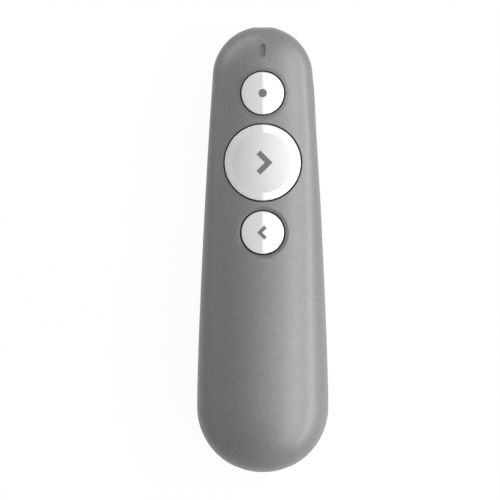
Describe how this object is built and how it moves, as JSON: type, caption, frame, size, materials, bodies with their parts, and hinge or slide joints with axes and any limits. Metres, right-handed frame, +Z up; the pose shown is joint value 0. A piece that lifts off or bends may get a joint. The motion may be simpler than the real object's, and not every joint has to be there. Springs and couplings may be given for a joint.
{
  "type": "wireless presentation clicker",
  "caption": "Slim tapered handheld slide clicker with round push keys on a crowned top, a laser in its nose, a slide-off battery door and a docked USB receiver.",
  "frame": {"origin": "middle of the footprint at the height of the flat resting patch on the underside", "axes": "+Y towards the laser nose, +X to the right seen from above with the nose away, +Z up through the keys"},
  "size_m": [0.0352, 0.1194, 0.0261],
  "materials": {
    "casing_grey": "fine-grained soft-touch grey moulding",
    "key_white": "polished white moulding",
    "mark_grey": "grey second-shot key mark",
    "black_plastic": "black structural moulding",
    "board_green": "green solder mask over glass laminate",
    "switch_black": "black switch moulding",
    "tinned_metal": "bright tinned metal",
    "chip_black": "black epoxy",
    "ceramic_white": "fired ceramic",
    "led_clear": "clear epoxy over phosphor",
    "pipe_grey": "smoked translucent light guide",
    "brass": "turned brass",
    "lens_glass": "clear moulded lens",
    "window_tint": "dark red window",
    "cell_jacket": "plain printed cell jacket with steel ends",
    "spring_steel": "nickel-plated spring steel",
    "screw_steel": "dark plated steel",
    "plug_steel": "folded steel sheet",
    "gold_plate": "gold-plated contact"
  },
  "bodies": {
    "casing": {"top_shell": "casing_grey", "bottom_shell": "casing_grey", "battery_tray": "black_plastic", "circuit_board": "board_green", "laser_switch": "switch_black", "next_switch": "switch_black", "back_switch": "switch_black", "switch_terminals": "tinned_metal", "radio_chip": "chip_black", "crystal": "tinned_metal", "chip_antenna": "ceramic_white", "board_passives": "ceramic_white", "status_led": "led_clear", "status_light_pipe": "pipe_grey", "laser_barrel": "brass", "laser_diode": "tinned_metal", "collimator_lens": "lens_glass", "lens_ring": "brass", "laser_window": "window_tint", "laser_leads": "tinned_metal", "cell_left": "cell_jacket", "cell_right": "cell_jacket", "front_contact_left": "spring_steel", "front_contact_right": "spring_steel", "rear_contact_bridge": "spring_steel", "rear_contact_spring": "spring_steel", "front_contact_spring": "spring_steel", "receiver_dock": "black_plastic", "case_screws": "screw_steel", "board_screws": "screw_steel"},
    "laser_key_unit": {"laser_key": "key_white", "laser_key_mark": "mark_grey", "laser_switch_stem": "switch_black"},
    "next_key_unit": {"next_key": "key_white", "next_key_mark": "mark_grey", "next_switch_stem": "switch_black"},
    "back_key_unit": {"back_key": "key_white", "back_key_mark": "mark_grey", "back_switch_stem": "switch_black"},
    "door": {"battery_door": "casing_grey"},
    "receiver": {"receiver_grip": "black_plastic", "receiver_plug_shell": "plug_steel", "receiver_tongue": "chip_black", "receiver_contacts": "gold_plate"}
  },
  "joints": [
    {"name": "laser_key_press", "type": "slide", "parent": "casing", "child": "laser_key_unit", "axis": [0, 0, -1], "range_m": [0, 0.0006], "stiffness_N_per_m": 1500, "springref_m": -0.0003},
    {"name": "next_key_press", "type": "slide", "parent": "casing", "child": "next_key_unit", "axis": [0, 0, -1], "range_m": [0, 0.0006], "stiffness_N_per_m": 1500, "springref_m": -0.0003},
    {"name": "back_key_press", "type": "slide", "parent": "casing", "child": "back_key_unit", "axis": [0, 0, -1], "range_m": [0, 0.0006], "stiffness_N_per_m": 1500, "springref_m": -0.0003},
    {"name": "battery_door_slide", "type": "slide", "parent": "casing", "child": "door", "axis": [0, -1, 0], "range_m": [0, 0.075]},
    {"name": "receiver_slide", "type": "slide", "parent": "casing", "child": "receiver", "axis": [0, -1, 0], "range_m": [0, 0.02]}
  ]
}
